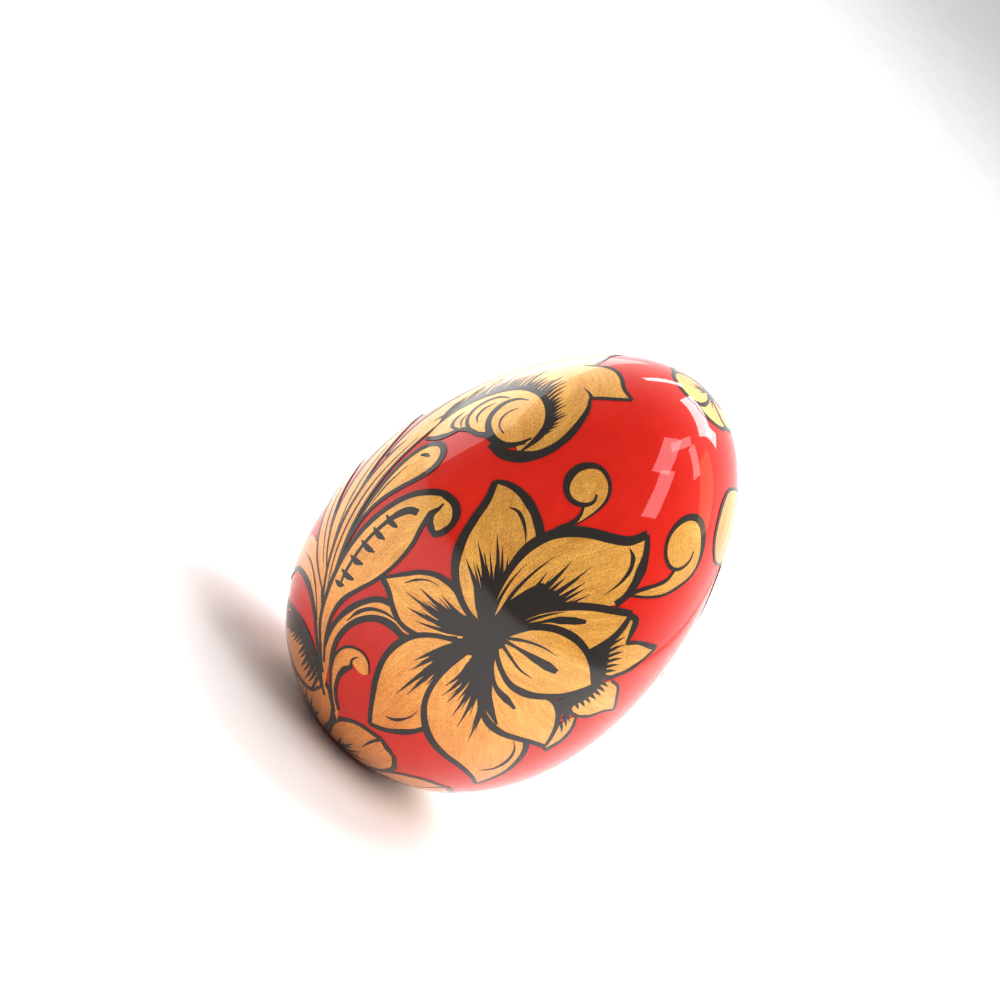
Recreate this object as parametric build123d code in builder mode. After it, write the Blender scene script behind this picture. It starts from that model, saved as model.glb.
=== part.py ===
"""Painted and lacquered turned wooden egg. Millimetres, +Z along the axis, blunt end down,
origin at the centre of the flat foot."""

import os
from math import cos, hypot, radians, sin, sqrt

from build123d import *

os.makedirs("parts", exist_ok=True)

# ---------------------------------------------------------------- driving dimensions
egg_height = 69.2  # foot to pointed end
egg_width = 50.0  # widest diameter
foot_radius = 7.5  # flat that the egg stands on, measured on the lacquer's own curve
taper = -0.152  # how much narrower the pointed half is than the blunt half
fullness = 0.024  # how full both ends are

lacquer_depth = 0.20  # underside of the clear lacquer
film_depth = 0.30  # underside of the gold and black films
ground_depth = 0.40  # underside of the red ground
primer_depth = 0.60  # underside of the primer, which is the surface of the wood
coat_lift = 0.20  # the coats end this far above the foot, so only wood stands on the table

contour = 0.9  # width of a black contour
heart_radius = 3.4  # dark heart of the flower
prism_depth = 18.0  # a motif is pressed this far down, past the curve of the egg
base_petal_count = 9
base_petal_turn = 14.0  # longitude of the first petal, degrees
tip_petal_count = 5
tip_petal_radius = 2.7
tip_petal_offset = 2.9  # centre of a tip petal from the pole


# ---------------------------------------------------------------- shape of the egg
def end_shape(t):
    return sqrt(max(0.0, 1 - t * t)) * (1 + taper * t + fullness * t * t)


half_width = egg_width / 2 / max(end_shape(i / 2000) for i in range(-2000, 2001))


def solve(function, low, high):
    """The value between low and high where an increasing function crosses zero."""
    for _ in range(60):
        middle = (low + high) / 2
        if function(middle) < 0:
            low = middle
        else:
            high = middle
    return low


foot_t = solve(lambda t: half_width * end_shape(t) - foot_radius, -1.0, -0.5)
half_length = egg_height / (1 - foot_t)


def radius_at(height):
    """Radius of the lacquered egg at a height above the foot."""
    return half_width * end_shape(height / half_length + foot_t)


def profile_point(angle, depth):
    """Point (radius, height) on the egg's outline, moved inwards by depth.
    The angle is 0 at the pointed end."""
    step = 1e-4

    def outline(a):
        return half_width * end_shape(cos(a)) * (1 if a > 0 else -1), half_length * (cos(a) - foot_t)

    (r0, z0), (r1, z1), (r2, z2) = outline(angle), outline(angle - step), outline(angle + step)
    length = hypot(r2 - r1, z2 - z1)
    return r0 + depth * (z2 - z1) / length, z0 - depth * (r2 - r1) / length


def egg_curve(depth, lowest):
    """Outline points at one depth, from height lowest up to the pole."""
    start = solve(lambda a: lowest - profile_point(a, depth)[1], 1.5, 3.1)
    count = 24
    points = [profile_point(start * (1 - i / count), depth) for i in range(count)]
    return points + [(0.0, egg_height - depth)]


# ---------------------------------------------------------------- wood and full coats
with BuildPart() as wood_core:
    with BuildSketch(Plane.XZ):
        with BuildLine():
            curve = egg_curve(primer_depth, 0.0)
            Spline(*curve)
            Polyline(curve[-1], (0, 0), curve[0])
        make_face()
    revolve(axis=Axis.Z)


def coat_shell(outer_depth, inner_depth):
    """A skin between two depths, open round the foot."""
    with BuildPart() as shell:
        with BuildSketch(Plane.XZ):
            with BuildLine():
                outer = egg_curve(outer_depth, coat_lift)
                inner = egg_curve(inner_depth, coat_lift)
                Spline(*outer)
                Line(outer[-1], inner[-1])
                Spline(*inner)
                Line(inner[0], outer[0])
            make_face()
        revolve(axis=Axis.Z)
    return shell.part


film_layer = coat_shell(lacquer_depth, film_depth)


# ---------------------------------------------------------------- charts for the painting
class Chart:
    """Millimetres measured along the surface from a centre on the egg, x to the east and y
    towards the pointed end. Points are dropped onto the plane that touches the egg there."""

    def __init__(self, longitude, height):
        east = Vector(cos(radians(longitude)), sin(radians(longitude)), 0)
        away = Vector(east.Y, -east.X, 0)
        step = 0.001
        slope = (radius_at(height + step) - radius_at(height - step)) / (2 * step)
        outward = (away - Vector(0, 0, slope)).normalized()
        radius = radius_at(height)
        self.plane = Plane(away * radius + Vector(0, 0, height), x_dir=east, z_dir=outward)
        self.reach = radius / outward.dot(away)

    def drop(self, x, y):
        rise = self.plane.z_dir
        centre = self.plane.origin - rise * self.reach
        distance = max(hypot(x, y), 1e-9)
        angle = distance / self.reach
        along = (self.plane.x_dir * x + self.plane.y_dir * y) * (1 / distance)
        ray = rise * cos(angle) + along * sin(angle)

        def outside(length):
            point = centre + ray * length
            return hypot(point.X, point.Y) - radius_at(point.Z)

        length = solve(outside, 0, 2 * self.reach)
        return length * ray.dot(self.plane.x_dir), length * ray.dot(self.plane.y_dir)

    def outline(self, *sides):
        """The area inside smooth sides that meet in corners, clockwise, and the same area with
        its black contour."""
        with BuildSketch() as area:
            with BuildLine():
                edges = [
                    Spline(*[self.drop(*point) for point in (*side, following[0])])
                    for side, following in zip(sides, sides[1:] + sides[:1])
                ]
            make_face()
        with BuildSketch() as wide:
            add(area.sketch)
            for edge in edges:
                with BuildLine():
                    add(edge)
                    rim = Spline(*[rim_point(edge, i / 6) for i in range(7)])
                    Line(edge @ 0, rim @ 0)
                    Line(edge @ 1, rim @ 1)
                make_face()
                with Locations(edge @ 1):
                    Circle(contour)
        return area.sketch, wide.sketch

    def leaf(self, base, left, tip, right):
        """A leaf or petal: one smooth side up to its tip and one smooth side back."""
        return self.outline((base, *left), (tip, *right))

    def disc(self, centre, radius):
        """A round blob and the same with its black contour."""
        with BuildSketch() as area:
            with Locations(self.drop(*centre)):
                Circle(radius)
        with BuildSketch() as wide:
            with Locations(self.drop(*centre)):
                Circle(radius + contour)
        return area.sketch, wide.sketch


def rim_point(edge, share):
    """The point a contour's width to the left of a side, some share of the way along it."""
    along = edge % share
    return edge @ share + Vector(-along.Y, along.X) * contour


def pressed(plane, area, behind):
    """A painted area pressed square down through the film layer, cut by what is nearer."""
    patches = []
    for face in area.faces():
        with BuildPart() as patch:
            with BuildSketch(plane.offset(1)):
                add(face)
            extrude(amount=-prism_depth - 1)
            add(film_layer, mode=Mode.INTERSECT)
        patches.append(patch.part)
    with BuildPart() as film:
        add(patches)
        for nearer in behind:
            add(nearer, mode=Mode.SUBTRACT)
    return film.part


def areas(outlines, dark=()):
    """Gold, black and whole areas of outlines stacked from front to back. Each one's contour
    cuts what lies behind it."""
    with BuildSketch() as gold:
        add(outlines[-1][0])
        for area, wide in reversed(outlines[:-1]):
            add(wide, mode=Mode.SUBTRACT)
            add(area)
        for area in dark:
            add(area, mode=Mode.SUBTRACT)
    with BuildSketch() as whole:
        for area, wide in outlines:
            add(wide)
    with BuildSketch() as black:
        add(whole.sketch)
        add(gold.sketch, mode=Mode.SUBTRACT)
    return gold.sketch, black.sketch, whole.sketch


def painted(chart, outlines, dark=(), behind=()):
    """Gold film, black film and the whole of a motif, cut by the motifs named in behind."""
    return [pressed(chart.plane, area, behind) for area in areas(outlines, dark)]


# ---------------------------------------------------------------- flower and its sepals
bloom = Chart(10.5, 30.5)
near_right_petal = bloom.leaf(
    (0.3, 0.2), [(2.2, 4.3), (7.2, 7.4), (12.6, 6.8)], (16.0, 4.3), [(13.3, 0.7), (9.0, -2.3), (3.6, -1.8)]
)
upper_right_petal = bloom.leaf(
    (0.2, 1.0), [(1.5, 7.1), (6.1, 12.0)], (11.3, 14.4), [(12.0, 10.7), (8.0, 5.0)]
)
lower_right_petal = bloom.leaf(
    (0.2, 0.0), [(7.0, 1.0), (15.4, -1.8)], (18.5, -7.3), [(13.6, -8.4), (6.1, -7.7), (1.6, -2.5)]
)
top_petal = bloom.leaf(
    (-0.3, 0.4), [(-4.4, 6.0), (-3.5, 15.4), (1.9, 19.3)], (4.8, 21.6), [(8.6, 16.4), (7.0, 8.0)]
)
bottom_right_petal = bloom.leaf(
    (0.4, -0.8),
    [(9.0, -4.0), (16.9, -9.6), (17.8, -14.3)],
    (16.5, -19.3),
    [(8.3, -16.8), (0.4, -12.5), (-0.9, -6.4)],
)
upper_left_petal = bloom.leaf(
    (-1.0, 0.5), [(-9.2, 2.1), (-13.0, 10.0)], (-14.2, 14.4), [(-7.1, 14.8), (-2.6, 7.0)]
)
bottom_petal = bloom.leaf(
    (-0.6, -0.8), [(1.5, -7.0), (3.3, -15.5)], (-1.4, -21.0), [(-7.3, -12.5), (-6.7, -6.8)]
)
left_petal = bloom.leaf(
    (-1.0, 0.0), [(-3.1, -3.2), (-9.2, -7.4)], (-15.6, -5.7), [(-12.8, -0.9), (-8.2, 1.1)]
)
flower = painted(
    bloom,
    [
        near_right_petal,
        upper_right_petal,
        lower_right_petal,
        top_petal,
        bottom_right_petal,
        upper_left_petal,
        bottom_petal,
        left_petal,
    ],
    dark=[bloom.disc((-0.6, 0.0), heart_radius)[0]],
)
sepals = painted(
    bloom,
    [
        bloom.leaf((12.0, 5.0), [(13.4, 10.0), (16.1, 13.0)], (19.7, 13.9), [(18.9, 9.5), (15.0, 4.0)]),
        bloom.leaf((14.0, 3.0), [(17.9, 6.6), (20.6, 6.3)], (24.0, 3.0), [(20.1, 0.0), (16.0, -0.8)]),
        bloom.leaf((14.0, -1.0), [(18.6, -0.7), (20.4, -4.5)], (19.2, -8.2), [(17.0, -5.0)]),
    ],
    behind=[flower[2]],
)

# ---------------------------------------------------------------- tendrils over the flower
tendril = Chart(35.0, 54.0)
spirals = painted(
    tendril,
    [
        tendril.disc((-13.3, 0.9), 1.9),
        tendril.leaf((-12.2, -5.4), [(-11.6, -2.5), (-12.0, 1.0)], (-13.2, 3.2), [(-10.9, 2.4), (-10.6, -2.0)]),
        tendril.disc((3.0, 1.9), 2.5),
        tendril.leaf((0.3, -7.3), [(3.4, -4.0), (4.8, 1.0)], (3.4, 5.2), [(7.2, 2.4), (5.2, -4.0)]),
    ],
    behind=[flower[2]],
)

# ---------------------------------------------------------------- ladder leaf, stems, drop leaf
spray = Chart(-40.0, 24.0)
leaf = painted(
    spray,
    [
        spray.disc((5.1, 11.6), 1.3),
        spray.leaf(
            (4.3, -14.0),
            [(0.4, -7.0), (-1.7, 1.0), (-1.2, 8.5)],
            (3.4, 13.4),
            [(4.4, 9.0), (5.9, 3.5), (4.2, -4.0)],
        ),
    ],
    behind=[flower[2]],
)
stems = painted(
    spray,
    [
        spray.leaf((8.8, -20.5), [(7.0, -13.5), (8.4, -9.8)], (12.3, -10.6), [(9.4, -12.0), (8.6, -16.0)]),
        spray.leaf((6.9, -18.5), [(4.7, -10.0), (7.9, -1.2)], (14.0, -0.8), [(8.3, -4.2), (6.3, -11.0)]),
        spray.leaf(
            (-0.9, -3.2), [(-4.5, 4.0), (-6.7, 11.5)], (-4.8, 15.9), [(-2.2, 13.0), (-3.6, 7.0), (-2.4, 1.0)]
        ),
        spray.leaf((5.5, -16.0), [(0.5, -11.4), (-6.5, -10.1)], (-13.0, -7.5), [(-5.0, -6.2), (1.2, -10.0)]),
        spray.leaf((6.8, -19.3), [(-4.0, -20.8)], (-10.5, -20.0), [(-3.6, -14.9), (3.6, -15.6)]),
    ],
    behind=[flower[2], leaf[2]],
)

# ---------------------------------------------------------------- large scroll
crest = Chart(-46.5, 52.0)
scroll = painted(
    crest,
    [
        crest.disc((0.5, -1.6), 3.4),
        crest.leaf((-3.6, -10.6), [(-6.9, -6.0), (-5.6, 0.2)], (-1.2, 1.6), [(-3.4, -2.5), (-1.4, -7.0)]),
        crest.outline(
            ((5.4, -3.2), (4.2, 1.2), (-0.5, 3.0), (-5.6, 1.4), (-7.9, -4.0), (-6.8, -9.6)),
            ((-4.2, -14.0), (-3.0, -19.0)),
            ((-2.2, -23.0), (-8.0, -15.5), (-12.6, -6.0), (-14.4, 1.0)),
            ((-14.1, 6.3), (-17.9, 9.0), (-17.0, 14.6), (-12.2, 17.2), (-8.0, 14.6)),
            ((-4.9, 11.2), (-2.5, 12.4), (0.5, 12.8)),
            ((3.2, 12.5), (2.7, 10.4)),
            ((1.8, 8.3), (4.6, 5.4), (6.4, 1.0)),
        ),
    ],
    behind=[leaf[2], stems[2]],
)

# ---------------------------------------------------------------- both sides of the egg
side_films = {
    "flower": flower,
    "sepals": sepals,
    "leaf": leaf,
    "stems": stems,
    "scroll": scroll,
    "spirals": spirals,
}
films = {}
for motif, (gold_area, black_area, whole_area) in side_films.items():
    for side, turn in (("front", 0), ("back", 180)):
        for colour, area in (("gold", gold_area), ("black", black_area)):
            with BuildPart() as film:
                add(area, rotation=(0, 0, turn))
            films[f"{colour}_{motif}_{side}"] = film.part

# ---------------------------------------------------------------- rings at the two ends
tip_plane = Plane.XY.offset(egg_height)


def tip_rosette(margin):
    """Round petals about the pole, grown by a margin."""
    with BuildSketch() as rosette:
        Circle(tip_petal_offset)
        with PolarLocations(tip_petal_offset, tip_petal_count):
            Circle(tip_petal_radius + margin)
    return rosette.sketch


with BuildSketch() as tip_contour:
    add(tip_rosette(contour))
    add(tip_rosette(0), mode=Mode.SUBTRACT)
films["gold_tip_flower"] = pressed(tip_plane, tip_rosette(0), [])
films["black_tip_flower"] = pressed(tip_plane, tip_contour.sketch, [])

nearer_films = [flower[2], stems[2]]
for area in (flower[2], stems[2]):
    with BuildPart() as opposite:
        add(area, rotation=(0, 0, 180))
    nearer_films.append(opposite.part)
base_gold = []
base_black = []
for number in range(base_petal_count):
    chart = Chart(base_petal_turn + 360 * number / base_petal_count, 6.0)
    arch = chart.outline(
        ((0, -13), (-3.0, -8.0), (-5.2, -1.5), (-3.6, 2.4), (0, 3.5), (3.6, 2.4), (5.2, -1.5), (3.0, -8.0))
    )
    gold_area, black_area, _ = areas([arch])
    base_gold.append(pressed(chart.plane, gold_area, nearer_films))
    base_black.append(pressed(chart.plane, black_area, nearer_films))
with BuildPart() as gold_ring:
    add(base_gold)
with BuildPart() as black_ring:
    add(base_black)
    add(base_gold, mode=Mode.SUBTRACT)
films["gold_base_petals"] = gold_ring.part
films["black_base_petals"] = black_ring.part

# ---------------------------------------------------------------- red ground, primer, lacquer
with BuildPart() as red_ground_coat:
    add(coat_shell(lacquer_depth, ground_depth))
    for film in films.values():
        add(film, mode=Mode.SUBTRACT)

primer_coat = coat_shell(ground_depth, primer_depth)
clear_lacquer_coat = coat_shell(0.0, lacquer_depth)

# ---------------------------------------------------------------- one STEP file for each piece
pieces = {
    "wood_core": wood_core.part,
    "primer_coat": primer_coat,
    "red_ground_coat": red_ground_coat.part,
    **films,
    "clear_lacquer_coat": clear_lacquer_coat,
}
for name, piece in pieces.items():
    piece.label = name
    export_step(piece, f"parts/{name}.step")
    print(name, len(piece.solids()), "solids", round(piece.volume, 1), "mm3", piece.is_valid)
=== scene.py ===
"""Visual model of a turned wooden egg with a red ground, gold painting with black contours, and
clear gloss lacquer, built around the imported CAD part. The shape of the egg and the artwork are in
millimetres, and the artwork is measured along the surface. Finished meshes, lights and camera
are in metres."""

import math

import bpy
import numpy as np
from mathutils import Matrix, Vector
from mathutils.geometry import delaunay_2d_cdt


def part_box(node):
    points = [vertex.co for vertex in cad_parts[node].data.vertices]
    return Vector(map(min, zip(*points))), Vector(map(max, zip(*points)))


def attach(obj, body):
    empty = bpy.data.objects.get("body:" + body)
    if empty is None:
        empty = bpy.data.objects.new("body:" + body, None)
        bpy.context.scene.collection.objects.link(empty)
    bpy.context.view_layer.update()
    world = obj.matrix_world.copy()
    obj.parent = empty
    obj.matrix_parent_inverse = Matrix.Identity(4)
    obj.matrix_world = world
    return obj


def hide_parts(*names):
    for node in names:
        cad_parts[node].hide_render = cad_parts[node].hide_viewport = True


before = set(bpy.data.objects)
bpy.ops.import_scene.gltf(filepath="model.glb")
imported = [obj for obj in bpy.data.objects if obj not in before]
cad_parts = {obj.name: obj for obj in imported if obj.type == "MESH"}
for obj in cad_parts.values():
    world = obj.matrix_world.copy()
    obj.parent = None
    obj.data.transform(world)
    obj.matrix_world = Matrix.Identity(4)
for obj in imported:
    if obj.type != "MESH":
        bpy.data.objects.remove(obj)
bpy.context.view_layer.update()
rng = np.random.default_rng(7)

MM = 0.001

# ---------------------------------------------------------------- shape of the egg, mm
lacquer_low, lacquer_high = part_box("clear_lacquer_coat")
EGG_HEIGHT = lacquer_high.z / MM
HALF_WIDTH = (lacquer_high.x - lacquer_low.x) / 2 / MM
COAT_LIFT = lacquer_low.z / MM  # the coats end this far above the foot
FOOT_RADIUS = 7.5
TAPER = -0.152  # how much fatter the blunt end is
FULLNESS = 0.024  # how much both ends are filled out
HALVINGS = 60


def end_shape(t):
    return np.sqrt(np.maximum(0.0, 1 - t * t)) * (1 + TAPER * t + FULLNESS * t * t)


def solve(function, low, high):
    """The value between low and high where an increasing function crosses zero."""
    for _ in range(HALVINGS):
        middle = (low + high) / 2
        if function(middle) < 0:
            low = middle
        else:
            high = middle
    return low


SCALE = HALF_WIDTH / end_shape(np.linspace(-1, 1, 4001)).max()
FOOT_T = solve(lambda t: SCALE * end_shape(t) - FOOT_RADIUS, -1.0, -0.5)
HALF_LENGTH = EGG_HEIGHT / (1 - FOOT_T)


def radius_squared(height):
    """Squared radius at a height, and its slope. It stays smooth at the pole."""
    t = height / HALF_LENGTH + FOOT_T
    g = 1 + TAPER * t + FULLNESS * t * t
    dg = TAPER + 2 * FULLNESS * t
    value = SCALE**2 * (1 - t * t) * g * g
    slope = SCALE**2 * (-2 * t * g * g + 2 * (1 - t * t) * g * dg) / HALF_LENGTH
    return value, slope


def surface_normal(points):
    _, slope = radius_squared(points[:, 2])
    normal = np.column_stack([points[:, 0], points[:, 1], -slope / 2])
    return normal / np.linalg.norm(normal, axis=1, keepdims=True)


class Chart:
    """Millimetres along the surface from a centre on the egg: x to the east, y to the pole."""

    def __init__(self, longitude, height):
        east_angle = math.radians(longitude)
        self.east = np.array([math.cos(east_angle), math.sin(east_angle), 0.0])
        away = np.array([math.sin(east_angle), -math.cos(east_angle), 0.0])
        radius = math.sqrt(radius_squared(height)[0])
        touch = away * radius + np.array([0, 0, height])
        self.up = surface_normal(touch[None])[0]
        self.north = np.cross(self.up, self.east)
        self.reach = radius / self.up.dot(away)
        self.centre = touch - self.up * self.reach

    def place(self, xy):
        """Points on the egg for chart points."""
        xy = np.atleast_2d(np.asarray(xy, float))
        distance = np.maximum(np.hypot(xy[:, 0], xy[:, 1]), 1e-9)
        angle = distance / self.reach
        along = (xy[:, :1] * self.east + xy[:, 1:] * self.north) / distance[:, None]
        ray = self.up * np.cos(angle)[:, None] + along * np.sin(angle)[:, None]
        low, high = np.zeros(len(xy)), np.full(len(xy), 2.5 * self.reach)
        for _ in range(45):
            middle = (low + high) / 2
            point = self.centre + ray * middle[:, None]
            t = point[:, 2] / HALF_LENGTH + FOOT_T
            across = point[:, 0] ** 2 + point[:, 1] ** 2
            within = (across < radius_squared(point[:, 2])[0]) & (np.abs(t) < 1)
            low, high = np.where(within, middle, low), np.where(within, high, middle)
        return self.centre + ray * low[:, None]

    def read(self, points):
        """Chart points for points on the egg."""
        ray = points - self.centre
        ray = ray / np.linalg.norm(ray, axis=1, keepdims=True)
        angle = np.arccos(np.clip(ray @ self.up, -1, 1))
        east, north = ray @ self.east, ray @ self.north
        side = np.maximum(np.hypot(east, north), 1e-12)
        return np.column_stack([east, north]) * (self.reach * angle / side)[:, None]


# ---------------------------------------------------------------- brush work in a chart
SPACING = 0.45  # between the points of an outline
WOBBLE = 0.07  # how unevenly a line's width runs, as a share of it
FINEST_HALF = 0.015


def smooth(points, spacing=SPACING):
    """An even walk along a smooth curve through given points."""
    points = np.asarray(points, float)
    if len(points) == 2:
        count = max(2, int(np.linalg.norm(points[1] - points[0]) / spacing) + 1)
        return points[0] + (points[1] - points[0]) * np.linspace(0, 1, count)[:, None]
    padded = np.vstack([2 * points[0] - points[1], points, 2 * points[-1] - points[-2]])
    walk = []
    for p0, p1, p2, p3 in zip(padded, padded[1:], padded[2:], padded[3:]):
        spans = [max(1e-6, np.linalg.norm(b - a)) ** 0.5 for a, b in ((p0, p1), (p1, p2), (p2, p3))]
        knots = np.cumsum([0.0, *spans])
        for t in np.linspace(knots[1], knots[2], 12, endpoint=False):
            a1 = (p0 * (knots[1] - t) + p1 * (t - knots[0])) / (knots[1] - knots[0])
            a2 = (p1 * (knots[2] - t) + p2 * (t - knots[1])) / (knots[2] - knots[1])
            a3 = (p2 * (knots[3] - t) + p3 * (t - knots[2])) / (knots[3] - knots[2])
            b1 = (a1 * (knots[2] - t) + a2 * (t - knots[0])) / (knots[2] - knots[0])
            b2 = (a2 * (knots[3] - t) + a3 * (t - knots[1])) / (knots[3] - knots[1])
            walk.append((b1 * (knots[2] - t) + b2 * (t - knots[1])) / (knots[2] - knots[1]))
    walk.append(points[-1])
    walk = np.array(walk)
    length = np.concatenate([[0], np.cumsum(np.linalg.norm(np.diff(walk, axis=0), axis=1))])
    count = max(3, int(length[-1] / spacing) + 1)
    steps = np.linspace(0, length[-1], count)
    return np.column_stack([np.interp(steps, length, walk[:, k]) for k in (0, 1)])


def ribbon(points, widths):
    """Outline of a brush line: a centre line, and full widths spread evenly along it."""
    line = smooth(points)
    share = np.linspace(0, 1, len(line))
    half = np.interp(share, np.linspace(0, 1, len(widths)), widths) / 2
    half = half * (1 + WOBBLE * np.interp(share * 9, np.arange(11), rng.normal(0, 1, 11)))
    along = np.gradient(line, axis=0)
    along /= np.maximum(np.linalg.norm(along, axis=1, keepdims=True), 1e-9)
    across = np.column_stack([-along[:, 1], along[:, 0]]) * np.maximum(half, FINEST_HALF)[:, None]
    return np.vstack([line + across, (line - across)[::-1]])


class Layer:
    """One gold area or black stroke of a painting, as an outline on its sheet."""

    def __init__(self, motif, colour, outline, spine):
        self.motif, self.colour, self.outline, self.spine = motif, colour, outline, spine


class Painting:
    """A stack of gold areas and black strokes, back to front, on one sheet of the egg."""

    def __init__(self, sheet):
        self.sheet = sheet
        self.layers = []


class Brush:
    """Draws one motif of a painting, in the millimetres of one chart."""

    def __init__(self, painting, motif, chart):
        self.painting, self.motif, self.chart = painting, motif, chart

    def lay(self, colour, outline, spine=None):
        """Adds a layer on top, lifted from the chart to the painting's sheet."""
        sheet, chart = self.painting.sheet, self.chart
        outline = sheet.read(chart.place(outline))
        if spine is not None:
            spine = sheet.read(chart.place(spine))
        self.painting.layers.append(Layer(self.motif, colour, outline, spine))

    def gold(self, *sides, line=(0.3, 0.3), spine=None, drawn=()):
        """A gold area inside smooth sides that meet in corners. Each side that is drawn gets a
        black contour, and the spine is the way the brush went."""
        closed = [[*side, following[0]] for side, following in zip(sides, sides[1:] + sides[:1])]
        outline = np.vstack([smooth(side)[:-1] for side in closed])
        spine = spine or [sides[0][0], sides[len(sides) // 2][0]]
        self.lay("gold", outline, smooth(spine, 1.0))
        for number, side in enumerate(closed):
            if number in drawn:
                self.ink(side, line)

    def ink(self, points, widths):
        """A black line of changing width."""
        self.lay("black", ribbon(points, widths))

    def blot(self, points):
        """A black area inside one smooth closed line."""
        self.lay("black", smooth([*points, points[0]])[:-1])

    def hatch(self, root, tip, width, bend):
        """One pointed stroke: full at its root, drawn out to nothing at its tip."""
        root, tip = np.asarray(root, float), np.asarray(tip, float)
        way = tip - root
        middle = root + way * 0.55 + np.array([-way[1], way[0]]) * bend
        self.ink([root, middle, tip], (width, width * 0.95, width * 0.55, 0.03))

    def fan(self, heart, tips, width, start, fill, bend):
        """Strong strokes from a heart out to given tips, with finer ones between them."""
        heart = np.asarray(heart, float)
        tips = [np.asarray(tip, float) for tip in tips]
        for tip in tips:
            self.hatch(heart + (tip - heart) * start, tip, width * rng.uniform(0.85, 1.15), bend)
        for first, second in zip(tips, tips[1:]):
            for number in range(fill):
                share = (number + 1) / (fill + 1) + rng.uniform(-0.08, 0.08)
                tip = first + (second - first) * share
                tip = heart + (tip - heart) * rng.uniform(0.62, 0.9)
                thin = width * rng.uniform(0.45, 0.8)
                root = heart + (tip - heart) * start
                self.hatch(root, tip, thin, bend + rng.uniform(-0.03, 0.03))


# ---------------------------------------------------------------- the artwork of one side
HEART = (-0.5, -0.2)


def paint_sepals(pen):
    pen.gold([(17.0, -4.5), (17.6, -1.6)], [(18.3, -0.8), (19.7, -2.8), (20.2, -5.2)],
             [(19.4, -8.2), (18.0, -6.0)], line=(0.4, 0.8, 0.9), drawn=(1,))
    pen.gold([(15.0, 2.0), (16.6, 5.0)], [(17.9, 6.6), (19.8, 6.5), (21.6, 5.2)],
             [(24.0, 3.1), (22.0, 2.1), (20.4, 0.4)], [(18.6, -0.5), (16.4, -0.4)],
             line=(0.4, 0.55, 0.5), drawn=(1, 2, 3), spine=[(15.0, 2.6), (24.0, 3.1)])
    pen.gold([(13.0, 8.0), (13.7, 10.2)], [(14.4, 11.7), (16.0, 12.9), (17.8, 13.5)],
             [(19.8, 14.1), (19.5, 11.6), (18.8, 9.3), (17.7, 7.6)], [(16.6, 6.2), (14.6, 6.6)],
             line=(0.5, 0.7, 0.8), drawn=(1, 2), spine=[(13.2, 8.0), (19.7, 14.0)])
    pen.gold([(11.4, 9.0), (11.3, 12.0)], [(11.3, 14.5), (12.5, 14.7), (13.5, 13.5)],
             [(14.4, 11.9), (13.4, 10.0)], line=(0.8, 0.9, 0.6), drawn=(1,))
    pen.blot([(11.2, 8.0), (12.4, 10.2), (13.6, 9.3), (15.0, 7.8), (16.5, 6.1), (17.1, 4.2),
              (16.9, 2.2), (16.2, 0.3), (17.2, -1.4), (16.0, -1.6), (13.4, -0.7), (14.4, 2.0),
              (14.6, 5.0), (12.8, 6.4)])
    combs = [((12.6, 9.6), (13.4, 12.2)), ((13.2, 9.4), (14.3, 11.4)), ((13.8, 8.9), (15.2, 10.7)),
             ((14.4, 8.3), (15.9, 9.9)), ((15.0, 7.7), (16.4, 9.0)), ((15.5, 7.1), (16.9, 8.1)),
             ((16.0, 6.4), (17.2, 7.1)), ((16.5, 5.5), (18.3, 5.6)), ((16.8, 4.8), (18.6, 4.7)),
             ((16.9, 4.0), (18.6, 3.9)), ((16.9, 3.2), (18.5, 3.0)), ((16.8, 2.4), (18.2, 2.1)),
             ((16.6, 1.6), (17.9, 1.2)), ((16.2, 0.9), (17.4, 0.4)), ((15.6, -0.6), (18.0, -1.0)),
             ((16.0, -1.2), (18.3, -2.0)), ((16.6, -1.8), (18.5, -3.0)), ((17.0, -2.8), (18.8, -4.2))]
    for root, tip in combs:
        pen.hatch(root, tip, 0.55, 0.05)


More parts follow.
